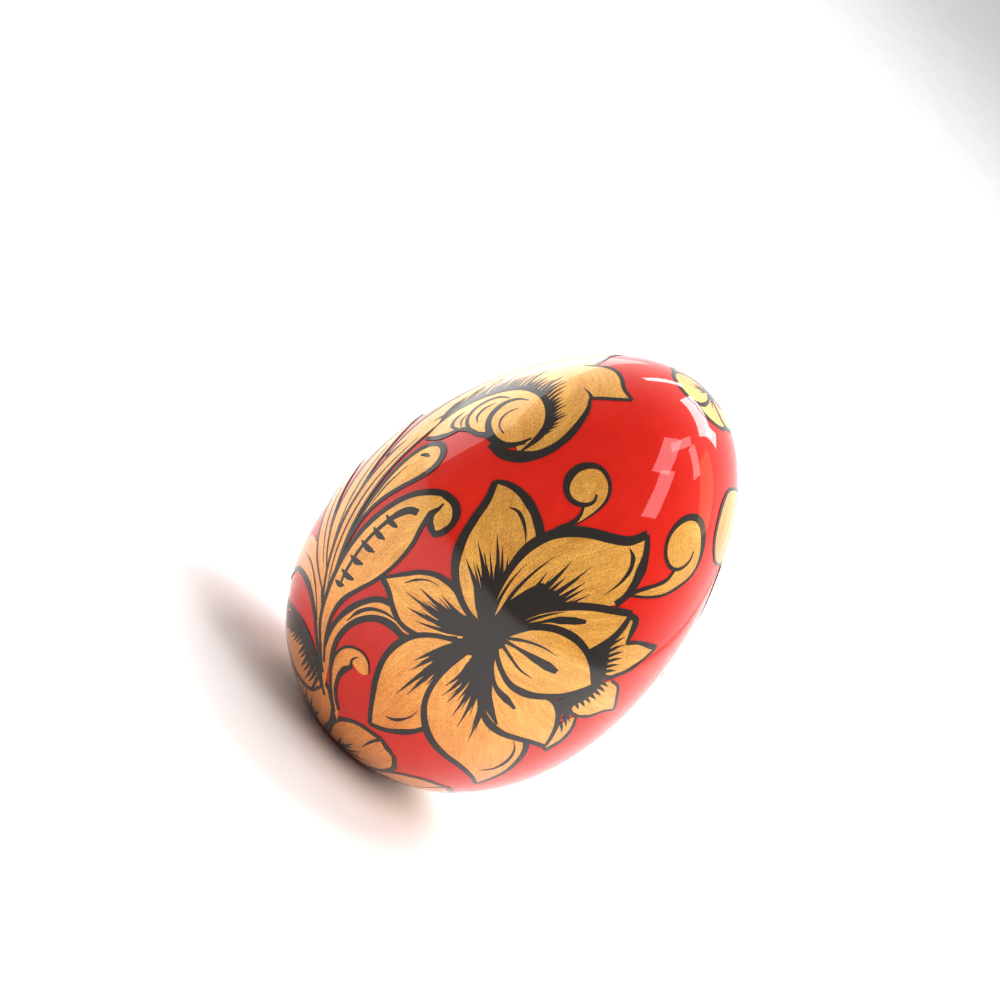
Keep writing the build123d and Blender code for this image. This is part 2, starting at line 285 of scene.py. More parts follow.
def paint_flower(pen):
    outer = (0.5, 1.25, 1.0)

    # left petal
    pen.gold([(-1.4, 0.4), (-5.5, 0.6), (-8.2, 1.2), (-10.8, 0.6), (-12.7, -0.9), (-14.1, -3.0)],
             [(-15.8, -5.9), (-13.9, -6.2), (-11.8, -7.1), (-9.4, -7.6), (-7.0, -6.9),
              (-5.0, -5.0)], [(-3.0, -3.0), (-1.6, -1.0)], line=(0.9, 0.75, 0.55), drawn=(0, 1),
             spine=[(-1.5, -1.0), (-15.6, -5.6)])
    pen.ink([(-13.1, -3.6), (-12.4, -2.1), (-11.2, -0.8), (-9.6, -0.1)], (0.15, 0.35, 0.2, 0.05))
    pen.fan(HEART, [(-8.6, -0.7), (-11.4, -2.4), (-12.2, -4.3), (-10.5, -5.5), (-8.4, -5.8)],
            width=0.85, start=0.2, fill=4, bend=0.03)

    # bottom petal
    pen.gold([(-1.2, -1.6), (-2.9, -3.3), (-5.1, -4.9), (-6.9, -7.1), (-7.6, -9.7), (-7.3, -12.4),
              (-6.1, -15.0), (-4.4, -17.4), (-2.7, -19.6)],
             [(-1.5, -21.1), (0.2, -20.0), (1.8, -18.3), (2.8, -16.8)],
             [(3.4, -15.0), (1.0, -8.0), (0.0, -3.0)], line=(0.6, 0.95, 0.6), drawn=(0, 1),
             spine=[(-1.2, -2.0), (-2.4, -11.0), (-1.5, -21.0)])
    pen.ink([(-1.2, -18.2), (-0.2, -17.7), (0.6, -16.5), (0.95, -15.2), (0.85, -13.9)],
            (0.05, 0.5, 0.35, 0.2, 0.04))
    pen.fan((-1.4, -1.2),
            [(-4.6, -9.6), (-3.9, -10.9), (-2.7, -14.8), (-1.7, -13.6), (-1.1, -10.6)], width=0.95,
            start=0.2, fill=4, bend=-0.03)

    # upper left petal
    pen.gold([(-1.2, 0.6), (-4.6, 0.4), (-7.6, 1.4), (-10.2, 3.3), (-11.9, 6.0), (-12.8, 9.2),
              (-13.3, 12.2)],
             [(-14.2, 14.5), (-12.6, 15.3), (-10.5, 15.6), (-8.0, 15.2), (-5.8, 14.2)],
             [(-4.4, 13.2), (-4.4, 9.0), (-3.4, 4.0)], line=outer, drawn=(0, 1),
             spine=[(-1.4, 1.0), (-7.6, 7.0), (-13.8, 14.0)])
    pen.ink([(-10.4, 13.4), (-9.4, 13.8), (-8.0, 13.5), (-6.7, 12.7), (-5.6, 11.7)],
            (0.1, 0.55, 0.45, 0.25, 0.05))
    pen.fan(HEART, [(-9.9, 5.0), (-10.4, 7.7), (-9.3, 10.2), (-7.6, 9.6), (-6.2, 9.2), (-5.4, 7.4)],
            width=0.9, start=0.22, fill=4, bend=-0.05)

    # bottom right petal
    pen.gold([(1.0, -0.8), (8.0, -4.0), (14.4, -7.4), (16.3, -9.2), (17.3, -11.6), (17.7, -14.2),
              (17.3, -17.0)],
             [(16.5, -19.5), (14.2, -18.0), (11.3, -17.1), (8.2, -16.8), (5.0, -16.0), (2.4, -14.4),
              (0.4, -12.2), (-0.7, -9.5), (-1.0, -6.6)], [(-0.8, -3.4)], line=(0.6, 1.05, 0.55),
             drawn=(0, 1), spine=[(0.0, -1.2), (8.0, -9.0), (16.4, -19.0)])
    pen.ink([(13.5, -8.9), (14.9, -10.0), (15.8, -11.8), (15.9, -13.7), (15.3, -15.2),
             (14.1, -16.2)], (0.05, 0.3, 0.5, 0.6, 0.35, 0.05))
    pen.fan((0.2, -1.0),
            [(0.6, -9.0), (1.4, -10.0), (2.5, -10.4), (4.4, -11.4), (6.1, -12.2), (8.9, -13.0),
             (8.2, -10.9), (9.8, -10.0)], width=0.9, start=0.2, fill=3, bend=0.06)

    # top petal
    pen.gold([(-0.6, 0.6), (-2.2, 2.2), (-3.9, 5.0), (-4.9, 8.5), (-5.1, 11.5), (-4.3, 14.2),
              (-2.8, 16.2), (-0.6, 17.8), (1.8, 19.0), (3.7, 20.2)],
             [(4.7, 21.9), (6.0, 20.9), (7.4, 19.2), (8.4, 17.2), (8.7, 15.6)],
             [(8.5, 14.2), (6.0, 11.0), (3.0, 8.0), (1.0, 4.0)], line=outer, drawn=(0, 1),
             spine=[(-0.4, 0.8), (-1.0, 10.0), (4.7, 21.5)])
    pen.ink([(4.3, 19.6), (5.5, 19.2), (6.4, 18.1), (6.7, 16.6), (6.6, 15.3), (6.3, 14.0)],
            (0.1, 0.5, 0.55, 0.4, 0.2, 0.04))
    pen.ink([(-1.6, 1.4), (-3.0, 4.6), (-3.7, 7.6), (-3.8, 10.2)], (0.5, 0.45, 0.25, 0.04))
    pen.ink([(-1.4, 2.6), (-2.3, 6.0), (-2.4, 9.6), (-1.9, 13.2)], (0.6, 0.5, 0.35, 0.04))
    pen.blot([(-1.8, 1.6), (-2.0, 5.0), (-1.3, 8.4), (-0.5, 10.0), (0.5, 9.6), (1.6, 10.6),
              (2.4, 9.6), (1.4, 7.0), (0.8, 4.0), (0.6, 1.0)])
    pen.fan((-0.3, 2.0),
            [(-1.2, 11.4), (0.1, 14.2), (1.0, 12.4), (2.4, 15.2), (3.3, 13.6), (3.9, 13.1),
             (4.9, 12.9), (5.3, 11.4)], width=0.85, start=0.3, fill=2, bend=-0.02)

    # upper right petal
    pen.gold([(0.4, 1.6), (0.7, 4.4), (1.7, 7.1), (3.6, 9.7), (6.2, 11.9), (8.7, 13.4)],
             [(11.3, 14.8), (11.9, 13.0), (12.1, 11.1), (11.7, 9.4)],
             [(11.0, 7.6), (7.0, 6.0), (3.0, 3.0)], line=(0.7, 1.15, 0.9), drawn=(0, 1),
             spine=[(0.6, 2.0), (5.4, 8.8), (11.2, 14.2)])
    pen.ink([(1.0, 3.4), (2.0, 6.0), (3.2, 8.0), (4.3, 9.4)], (0.8, 0.45, 0.3, 0.03))
    pen.ink([(1.0, 2.6), (2.2, 5.2), (4.0, 7.4), (6.0, 8.8)], (0.7, 0.4, 0.25, 0.03))
    pen.ink([(1.4, 2.6), (2.9, 5.2), (4.9, 6.9), (7.8, 7.6)], (0.6, 0.4, 0.3, 0.05))
    pen.ink([(2.6, 5.9), (3.8, 7.4), (5.4, 8.8), (6.6, 9.7), (7.3, 10.2)],
            (0.05, 0.55, 0.95, 1.1, 0.5))

    # lower right petal
    pen.gold([(1.0, 0.0), (7.0, -1.6), (12.9, -0.6), (15.2, -1.7), (16.9, -3.6), (18.0, -5.6)],
             [(18.7, -7.5), (16.3, -7.7), (13.8, -8.3), (11.2, -8.9), (8.4, -8.7), (5.8, -7.4),
              (3.8, -5.2), (2.2, -2.8)], [(0.9, -0.9)], line=(0.8, 1.1, 0.6), drawn=(0, 1),
             spine=[(1.0, -0.8), (9.0, -5.0), (18.4, -7.3)])
    pen.ink([(1.4, -1.2), (3.2, -3.9), (6.4, -6.6), (9.6, -8.2)], (1.3, 1.6, 1.4, 0.3))
    pen.ink([(2.0, -1.8), (4.0, -4.2), (5.9, -5.9)], (0.7, 0.5, 0.03))
    pen.ink([(2.2, -2.2), (4.6, -5.2), (7.4, -6.5)], (0.6, 0.4, 0.03))
    pen.ink([(1.6, -1.0), (3.3, -2.9), (5.4, -4.2), (7.4, -4.5), (8.9, -4.7), (9.6, -4.9)],
            (0.6, 0.55, 0.5, 0.8, 0.95, 0.4))

    # near right petal
    pen.gold([(0.5, 0.9), (1.2, 2.6), (2.6, 5.0), (4.8, 6.8), (7.5, 7.7), (10.2, 7.6), (12.8, 6.6)],
             [(15.9, 4.4), (15.0, 2.8), (13.4, 0.8), (11.4, -0.9), (9.0, -2.2), (6.4, -2.6),
              (4.0, -1.9), (2.2, -0.9)], [(1.0, 0.2)], line=(0.9, 1.0, 0.55), drawn=(0, 1),
             spine=[(0.8, 0.6), (8.0, 2.6), (15.8, 4.3)])
    pen.ink([(1.4, 1.7), (3.0, 2.9), (5.4, 4.0), (8.2, 4.5)], (0.45, 0.4, 0.25, 0.04))
    pen.ink([(1.4, 0.7), (3.6, 0.2), (5.8, -0.2), (8.0, 0.0)], (0.5, 0.4, 0.3, 0.04))
    pen.ink([(1.3, 1.2), (2.8, 1.6), (4.8, 2.0), (7.0, 2.4), (8.8, 2.7), (9.8, 2.8)],
            (0.7, 0.35, 0.6, 0.95, 1.3, 0.7))

    # heart
    pen.blot([(-3.4, 0.4), (-1.6, 1.9), (-0.2, 3.2), (0.9, 2.2), (1.9, 0.8), (1.6, -0.8),
              (2.2, -2.4), (0.6, -2.6), (-0.6, -3.6), (-2.2, -3.4), (-3.0, -1.8), (-4.6, -1.4),
              (-4.6, -0.2)])


def paint_spirals(pen):
    pen.gold([(-12.7, -6.2), (-12.1, -4.4), (-12.2, -2.2), (-14.0, -2.2), (-15.3, -1.2),
              (-15.8, 0.5), (-15.3, 2.3), (-14.2, 3.4), (-12.8, 3.6), (-11.4, 2.9), (-10.5, 1.6),
              (-10.3, 0.0), (-10.7, -1.8), (-11.4, -3.6)],
             spine=[(-12.0, -5.0), (-10.8, -0.5), (-12.0, 3.0), (-15.0, 1.0), (-13.0, -1.6)])
    pen.ink([(-11.7, 0.3), (-11.5, -0.6), (-11.9, -1.5), (-13.0, -2.2), (-14.3, -2.2),
             (-15.4, -1.3), (-15.9, 0.3), (-15.6, 2.0), (-14.5, 3.3), (-13.0, 3.8), (-11.6, 3.2),
             (-10.6, 2.0), (-10.2, 0.3), (-10.5, -1.5), (-11.1, -3.2), (-11.9, -5.4)],
            (0.3, 0.6, 0.85, 1.15, 1.0, 0.7, 0.5, 0.35, 0.25, 0.1))
    pen.ink([(-12.3, -2.1), (-12.0, -3.2), (-12.2, -4.8), (-13.2, -6.8)], (0.3, 0.55, 0.8, 1.0))
    pen.gold([(0.1, -7.6), (1.4, -6.0), (2.8, -4.5), (3.7, -3.2), (3.9, -1.8), (2.0, -1.3),
              (0.6, 0.0), (0.2, 1.7), (0.4, 3.4), (1.3, 4.8), (2.7, 5.5), (4.1, 5.3), (5.5, 4.3),
              (6.8, 2.7), (7.4, 1.0), (7.3, -0.8), (6.3, -2.8), (4.8, -4.8), (2.6, -6.4)],
             spine=[(0.6, -7.2), (5.4, -3.0), (6.4, 1.0), (3.6, 4.6), (0.8, 2.0), (3.0, -1.0)])
    pen.ink([(5.2, 2.0), (5.5, 0.9), (5.1, -0.5), (4.2, -1.4), (3.0, -1.7), (1.6, -1.2), (0.5, 0.0),
             (0.0, 1.7), (0.3, 3.5), (1.3, 5.0), (2.7, 5.7), (4.1, 5.5), (5.6, 4.4), (6.9, 2.8),
             (7.6, 1.0), (7.5, -0.8), (6.5, -2.8), (4.9, -5.0), (2.7, -6.6), (0.2, -7.8)],
            (0.2, 0.5, 0.6, 0.5, 0.8, 1.0, 0.9, 0.6, 0.45, 0.4, 0.35, 0.3))
    pen.ink([(4.0, -1.6), (3.8, -3.2), (2.8, -4.6), (1.3, -6.1), (0.0, -7.6)],
            (0.3, 0.5, 0.55, 0.5, 0.5))


def paint_leaf(pen):
    pen.gold([(6.2, -16.4), (4.2, -13.6), (2.2, -11.2), (0.7, -8.0), (-0.6, -4.4), (-1.6, -0.8),
              (-2.0, 3.0), (-1.7, 6.6), (-0.8, 9.8), (0.9, 12.3), (2.7, 13.7)],
             [(4.4, 14.0), (5.9, 13.5), (6.8, 12.3), (6.9, 10.8)], [(6.3, 9.6), (4.4, 10.3)],
             [(3.4, 10.9), (4.4, 8.9), (5.4, 6.9), (5.9, 4.5), (5.9, 1.9), (5.4, -0.7), (4.5, -3.1),
              (3.6, -5.5), (3.3, -7.7), (3.6, -9.8), (4.5, -12.2)], line=(0.35, 0.9, 0.85),
             drawn=(0,), spine=[(5.0, -14.0), (2.4, -6.0), (2.2, 4.0), (3.0, 12.0)])
    pen.ink([(2.6, 13.6), (4.4, 14.0), (5.9, 13.5), (6.8, 12.2), (6.8, 10.6), (6.3, 9.7)],
            (0.85, 1.0, 1.0, 0.9, 1.0, 0.9))
    pen.ink([(3.6, 12.9), (3.8, 12.0), (3.7, 11.1), (4.4, 10.3), (5.5, 9.9), (6.5, 9.8)],
            (0.2, 0.6, 1.0, 1.1, 0.9, 0.7))
    pen.gold([(5.3, 12.8), (6.2, 12.2), (6.4, 11.3), (5.9, 10.6), (5.0, 10.5), (4.3, 11.1),
              (4.3, 12.1)], spine=[(4.4, 11.6), (6.4, 11.6)])
    pen.ink([(3.5, 11.0), (4.4, 8.9), (5.4, 6.9), (5.9, 4.5), (5.9, 1.9), (5.4, -0.7), (4.5, -3.1),
             (3.6, -5.5), (3.3, -7.7), (3.6, -9.8), (4.5, -12.2), (5.8, -14.9)],
            (0.8, 0.6, 0.5, 0.55, 0.6, 0.6, 0.5, 0.4))
    pen.ink([(2.3, 9.6), (1.2, 8.9), (0.4, 7.3), (0.05, 4.8), (0.0, 2.0), (0.4, -0.9), (1.0, -3.4),
             (1.7, -5.4)], (0.9, 1.05, 0.7, 0.6, 0.55, 0.5, 0.45, 0.3))
    rungs = [((-0.5, 5.9), (2.0, 6.3)), ((-0.4, 3.5), (2.1, 4.0)), ((-0.3, 1.1), (2.4, 1.8)),
             ((0.1, -1.4), (2.4, -0.5)), ((0.5, -3.6), (2.9, -2.9)), ((0.8, -5.3), (2.2, -4.6))]
    for left, right in rungs:
        middle = ((left[0] + right[0]) / 2, (left[1] + right[1]) / 2 - 0.15)
        pen.ink([(left[0] - 0.4, left[1]), middle, right], (0.15, 0.6, 0.85, 0.75, 0.2))


def paint_stems(pen):
    # dark combed leaf beside the foot of the spray
    pen.gold([(6.6, -18.6), (4.6, -16.2), (2.2, -14.7), (-0.6, -14.3), (-3.8, -14.9),
              (-7.6, -16.4)], [(-11.0, -19.8), (-7.0, -22.0), (-1.0, -22.6), (4.0, -21.4)],
             line=(0.6, 1.0, 0.5), drawn=(0, 1), spine=[(6.0, -18.8), (-10.4, -19.6)])
    for number in range(22):
        share = number / 21
        rise = math.sin(math.pi * min(1.0, share * 1.15))
        root = np.array([5.6 - 14.4 * share, -17.2 + 2.9 * rise])
        tip = root + np.array([-1.5 - 0.6 * share, -4.2 + 0.8 * share]) * rng.uniform(0.8, 1.2)
        pen.hatch(root, tip, rng.uniform(0.7, 1.0), 0.05)

    # broad leaf over the arc, to the left
    pen.gold([(5.6, -16.6), (3.6, -13.4), (1.0, -9.6), (-1.8, -7.0), (-5.2, -5.6), (-9.6, -6.0),
              (-13.4, -8.6)],
             [(-13.2, -15.6), (-11.6, -13.4), (-9.6, -11.6), (-6.6, -10.3), (-3.0, -10.0),
              (0.4, -11.2), (3.2, -13.6)], line=(0.7, 1.0, 0.5), drawn=(1,),
             spine=[(4.8, -15.6), (-2.0, -8.6), (-12.8, -11.0)])
    pen.ink([(0.6, -9.2), (-2.6, -6.6), (-6.6, -5.5), (-10.4, -6.3)], (0.15, 0.45, 0.45, 0.1))
    pen.ink([(1.6, -11.4), (-1.8, -9.0), (-6.0, -8.0), (-10.0, -8.8)], (0.1, 0.3, 0.3, 0.05))

    # plumes between the broad leaf and the main stem
    pen.gold([(-0.6, -8.0), (-7.0, -6.2), (-13.4, -3.4), (-18.6, -0.4)],
             [(-22.0, 3.6), (-17.4, 3.0), (-11.6, -0.4), (-6.0, -3.6)], [(-0.4, -5.8)],
             line=(0.25, 0.45, 0.3), drawn=(0, 1),
             spine=[(-0.6, -7.0), (-10.0, -3.0), (-21.4, 3.2)])
    pen.ink([(-3.6, -5.9), (-9.4, -3.2), (-15.4, 0.2)], (0.05, 0.3, 0.05))
    pen.gold([(-1.6, -6.2), (-7.6, -2.6), (-13.2, 3.0), (-17.4, 9.4)],
             [(-19.6, 14.8), (-15.0, 11.2), (-10.8, 6.0), (-6.2, 0.4)], [(-1.4, -4.0)],
             line=(0.25, 0.45, 0.3), drawn=(0, 1),
             spine=[(-1.6, -5.2), (-10.0, 3.0), (-19.0, 14.0)])
    pen.ink([(-4.4, -3.4), (-9.8, 2.6), (-14.8, 9.4)], (0.05, 0.3, 0.05))

    # main stem up to the scroll, drop leaf beside it
    pen.gold([(6.0, -17.0), (2.0, -10.6), (-2.8, -5.0), (-7.6, 1.4), (-10.6, 8.0), (-12.0, 14.6)],
             [(-10.2, 20.0), (-9.2, 14.6), (-7.8, 9.0), (-5.2, 3.0), (-2.0, -2.4), (1.6, -8.0),
              (4.8, -14.4)], line=(0.3, 0.6, 0.4), drawn=(0, 1),
             spine=[(5.0, -15.0), (-2.4, -3.6), (-9.0, 8.0), (-10.8, 18.0)])
    pen.ink([(1.0, -8.4), (-4.0, -1.6), (-8.0, 6.0), (-10.0, 14.0)], (0.05, 0.35, 0.35, 0.05))
    pen.gold([(-1.4, -3.4), (-3.4, 1.0), (-5.1, 4.6), (-6.4, 8.2), (-7.1, 11.4), (-6.9, 14.0),
              (-6.0, 15.6), (-4.7, 16.2), (-3.3, 15.8), (-2.3, 14.4), (-2.3, 12.2), (-3.0, 9.6),
              (-3.7, 6.6), (-3.8, 3.8), (-3.0, 0.6)], line=(0.3, 0.7, 0.8, 0.7, 0.3), drawn=(0,),
             spine=[(-2.4, -1.6), (-4.6, 8.0), (-4.7, 15.8)])
    pen.ink([(-5.8, 13.4), (-5.2, 14.0), (-4.4, 14.3)], (0.3, 0.7, 0.2))
    pen.ink([(-4.4, 4.4), (-5.4, 8.0), (-5.7, 11.4)], (0.05, 0.3, 0.05))

    # pair of stems to the flower
    pen.gold([(7.3, -19.6), (5.4, -15.6), (4.7, -12.4), (4.5, -9.6), (5.0, -6.8), (6.1, -4.0),
              (7.8, -1.6)], [(9.8, -0.5), (12.0, -0.9)],
             [(14.4, -1.6), (11.8, -2.5), (9.6, -3.4), (7.8, -5.2), (6.6, -7.7), (6.2, -10.5),
              (6.6, -13.4)], line=(0.4, 0.85, 0.8), drawn=(0,),
             spine=[(6.6, -17.6), (5.6, -9.0), (8.6, -2.6), (13.0, -1.6)])
    pen.ink([(13.9, -2.6), (11.6, -2.6), (9.5, -3.5), (7.8, -5.3), (6.6, -7.8), (6.2, -10.5),
             (6.6, -13.2), (7.6, -16.0)], (0.9, 1.1, 1.0, 0.9, 0.8, 0.6, 0.3))
    pen.ink([(6.0, -7.4), (6.6, -5.2), (7.9, -3.3), (9.8, -2.1), (12.2, -1.5)],
            (0.1, 0.6, 0.5, 0.4, 0.1))

    # small curled leaf
    pen.gold([(10.2, -22.0), (8.6, -18.2), (7.3, -14.8), (7.1, -12.3), (7.8, -10.4), (9.2, -9.2),
              (10.7, -8.9), (11.9, -9.3), (12.7, -10.4), (12.3, -11.2), (11.2, -11.5),
              (10.2, -11.3), (9.4, -12.4), (8.9, -14.6), (9.1, -16.8), (10.2, -19.4)],
             spine=[(9.8, -20.6), (8.0, -13.0), (9.6, -9.8), (12.2, -10.6)])
    pen.ink([(9.6, -20.6), (8.2, -17.2), (7.2, -14.2), (7.1, -12.2), (7.8, -10.4), (9.2, -9.2),
             (10.7, -8.8), (11.9, -9.2), (12.8, -10.5)],
            (0.6, 0.75, 0.6, 0.5, 0.4, 0.35, 0.3, 0.15))
    pen.ink([(10.3, -9.8), (9.7, -10.9), (10.0, -11.8), (9.3, -13.0), (8.9, -14.8), (9.1, -17.0),
             (10.3, -19.8)], (0.1, 0.5, 0.9, 0.7, 0.6, 0.6, 0.4))


def paint_scroll(pen):
    pen.gold([(-9.0, -8.0), (-8.6, -13.0)], [(-8.2, -17.5), (-11.6, -12.4), (-13.6, -6.4)],
             [(-14.8, -1.0), (-15.0, 3.0)],
             [(-14.1, 6.3), (-16.2, 7.2), (-17.9, 9.0), (-18.2, 12.0), (-17.0, 14.6), (-14.4, 17.0),
              (-12.2, 17.6), (-10.2, 16.4), (-8.2, 14.4), (-6.4, 12.8)],
             [(-4.9, 11.2), (-3.9, 12.3), (-2.5, 13.0), (-0.6, 13.1), (1.6, 12.7)],
             [(3.6, 13.0), (3.0, 11.2), (2.3, 9.6)],
             [(1.8, 8.4), (3.4, 7.4), (5.0, 5.6), (6.4, 3.4), (7.1, 0.8), (7.0, -1.4), (6.2, -3.2)],
             [(5.2, -3.4), (2.0, -3.0), (-5.0, -3.0)], line=(0.4, 0.55, 0.4), drawn=(1, 2, 3, 4, 5),
             spine=[(-9.4, -12.0), (-12.0, 0.0), (-8.0, 8.6), (0.0, 9.6), (5.6, 3.0), (6.2, -2.0)])
    pen.ink([(-5.0, 11.3), (-5.3, 10.6), (-5.8, 10.1)], (0.5, 0.3, 0.05))
    pen.ink([(1.9, 8.4), (1.0, 8.5), (-0.4, 8.2)], (0.5, 0.3, 0.04))
    pen.ink([(1.7, 8.3), (3.4, 7.4), (5.0, 5.7), (6.4, 3.5), (7.2, 0.9), (7.1, -1.6), (6.1, -3.7),
             (4.6, -5.2), (2.3, -6.3)], (0.35, 0.7, 0.95, 1.15, 1.2, 1.2, 1.7, 1.6, 0.5))
    # combing that stands out from the ring
    ring = smooth([(5.6, -3.0), (5.1, -0.8), (4.3, 0.8), (3.3, 1.8), (1.8, 2.6), (0.0, 3.0),
                   (-2.0, 2.9), (-4.0, 2.2), (-5.8, 0.8), (-7.0, -1.0), (-7.8, -3.4), (-8.1, -6.0),
                   (-7.9, -8.4), (-7.0, -10.8)], 0.2)
    reach = smooth([(6.2, 0.6), (4.9, 2.8), (3.8, 4.3), (2.0, 5.4), (0.4, 6.2), (-1.6, 6.6),
                    (-4.0, 6.7), (-6.2, 6.2), (-8.6, 5.0), (-10.4, 2.6), (-11.3, -1.0),
                    (-11.3, -4.4), (-10.6, -8.0)], 0.2)
    count = 40
    for number in range(count):
        share = 0.1 + 0.88 * number / (count - 1)
        root = ring[int(share * (len(ring) - 1))]
        tip = reach[int(share * (len(reach) - 1))]
        tip = root + (tip - root) * rng.uniform(0.6, 1.06)
        pen.hatch(root, tip, rng.uniform(0.32, 0.62), 0.06)
    # folds inside the ring
    pen.gold([(-5.6, -12.6), (-7.4, -9.8), (-7.9, -6.0), (-7.4, -3.0), (-6.4, -0.6)],
             [(-4.4, 1.4), (-2.4, 2.2), (0.0, 2.6), (2.6, 2.0), (4.2, 0.4)],
             [(4.8, -2.0), (3.4, -5.0), (0.6, -5.9), (-0.6, -6.9), (-2.2, -7.6)],
             [(-3.3, -8.6), (-3.6, -10.2), (-4.4, -11.6)], line=(0.4, 0.9, 0.6), drawn=(2, 3),
             spine=[(-5.2, -11.6), (-6.6, -4.6), (-2.0, 1.6), (3.0, 0.0)])
    pen.ink(ring[::6], (0.3, 0.9, 1.05, 0.95, 0.95, 1.0, 0.9, 0.6, 0.3))
    pen.ink([(-4.3, -0.9), (-5.7, -2.1), (-6.2, -4.0), (-5.7, -5.8), (-4.5, -7.0), (-2.9, -7.5),
             (-1.3, -7.3), (-0.1, -6.5), (0.3, -5.6)], (0.1, 0.5, 0.55, 0.5, 0.5, 0.6, 0.6, 0.5))
    pen.ink([(-4.7, -2.8), (-4.7, -4.5), (-3.7, -5.9), (-2.4, -6.2)], (0.05, 0.35, 0.4, 0.1))
    pen.ink([(-6.4, -7.0), (-5.8, -8.5), (-4.6, -9.2), (-3.3, -8.7)], (0.1, 0.45, 0.5, 0.3))
    pen.ink([(-5.4, -6.8), (-4.7, -7.9), (-3.6, -8.2)], (0.05, 0.35, 0.1))
    pen.ink([(-2.0, 1.1), (-3.2, 0.0), (-3.7, -1.7), (-3.1, -3.5), (-1.8, -4.8), (0.0, -5.4),
             (2.0, -5.3), (3.6, -4.4), (4.4, -2.8), (4.5, -1.0)],
            (0.1, 0.5, 0.75, 0.85, 0.8, 0.9, 1.0, 1.0, 0.7, 0.3))
    pen.ink([(-1.4, -0.7), (-1.5, -2.1), (-0.8, -3.4), (0.4, -4.0), (1.7, -3.9)],
            (0.04, 0.25, 0.28, 0.25, 0.2))


def paint_side(turn):
    """Everything painted on one side of the egg, back to front."""
    painting = Painting(Chart(turn - 4.0, 36.0))
    spray = Chart(turn - 40.0, 24.0)
    crest = Chart(turn - 46.5, 52.0)
    bloom = Chart(turn + 10.5, 30.5)
    tendril = Chart(turn + 35.0, 54.0)
    paint_stems(Brush(painting, "stems", spray))
    paint_scroll(Brush(painting, "scroll", crest))
    paint_leaf(Brush(painting, "leaf", spray))
    paint_spirals(Brush(painting, "spirals", tendril))
    paint_sepals(Brush(painting, "sepals", bloom))
    paint_flower(Brush(painting, "flower", bloom))
    return painting


BASE_PETALS = 9
BASE_TURN = 14.0
TIP_PETALS = 5
TIP_TURN = 35.0


def paint_base_petal(number):
    """One petal of the ring round the foot, held inside its own sector."""
    longitude = BASE_TURN + 360 * number / BASE_PETALS
    chart = Chart(longitude, 6.0)
    painting = Painting(chart)
    pen = Brush(painting, "base_petals", chart)
    left = [(-2.6, -13.0), (-3.6, -8.0), (-5.0, -3.6), (-4.9, -0.6), (-3.4, 1.9)]
    right = [(-x, y) for x, y in left[::-1]]
    pen.gold(left, [(0.0, 3.4)], right, line=(0.7, 0.95, 0.7), drawn=(0, 1, 2),
             spine=[(0.0, -12.0), (0.0, 3.4)])
    pen.ink([(0.0, 3.4), (-0.3, 1.2), (-0.1, -2.0)], (0.7, 0.4, 0.05))
    pen.fan((0.0, -12.0), [(-2.4, -4.6), (-1.0, -3.0), (0.6, -3.4), (2.3, -4.8)], width=0.8,
            start=0.1, fill=2, bend=0.02)
    return painting


def paint_tip():
    """The small flower over the pole."""
    chart = Chart(0.0, EGG_HEIGHT - 0.3)
    pole = chart.read(np.array([[0.0, 0.0, EGG_HEIGHT]]))[0]
    painting = Painting(chart)
    pen = Brush(painting, "tip_flower", chart)
    for number in range(TIP_PETALS):
        turn = math.radians(TIP_TURN - 90 + 360 * number / TIP_PETALS)
        outward = np.array([math.cos(turn), math.sin(turn)])
        aside = np.array([-outward[1], outward[0]])

        def at(along, across):
            return tuple(pole + outward * along + aside * across)

        pen.gold([at(0.3, 0.0), at(1.6, 2.2), at(3.4, 3.3), at(5.0, 2.8), at(5.9, 1.2),
                  at(5.9, -1.2), at(5.0, -2.8), at(3.4, -3.3), at(1.6, -2.2)],
                 line=(0.3, 0.7, 0.6, 0.7, 0.3), drawn=(0,), spine=[at(0.4, 0), at(6.0, 0)])
        pen.fan(at(0.6, 0.0), [at(2.6, -0.9), at(3.4, 0.0), at(2.6, 0.9)], width=0.45, start=0.1,
                fill=1, bend=0.02)
    dot = np.linspace(0, 2 * math.pi, 9)[:-1]
    pen.blot([tuple(pole + 0.75 * np.array([math.cos(a), math.sin(a)])) for a in dot])
    return painting


# ---------------------------------------------------------------- films cut from the artwork
GRID_STEP = 1.1  # between the free points inside an area
GRID_JITTER = 0.1
CDT_EPSILON = 1e-4
SLIVER = 1e-7  # triangles of less than half this area are dropped
FILM_MARGIN = 0.25  # films end this far above the lower edge of the coats
FILM_BOTTOM = 0.17  # depths below the surface of the lacquer
GROUND_DEPTH = 0.13
GROUND_INSIDE = 0.40
SIDE_DEPTHS = {"gold": 0.05, "black": 0.02}
RING_DEPTHS = {"gold": 0.10, "black": 0.08}


def inside(points, outline):
    """Which points have a nonzero winding number about a closed outline."""
    start, end = outline, np.roll(outline, -1, axis=0)
    upward = (start[None, :, 1] <= points[:, None, 1]) & (end[None, :, 1] > points[:, None, 1])
    downward = (start[None, :, 1] > points[:, None, 1]) & (end[None, :, 1] <= points[:, None, 1])
    side = ((end[:, 0] - start[:, 0])[None] * (points[:, None, 1] - start[None, :, 1])
            - (points[:, None, 0] - start[None, :, 0]) * (end[:, 1] - start[:, 1])[None])
    return ((upward & (side > 0)).sum(1) - (downward & (side < 0)).sum(1)) != 0


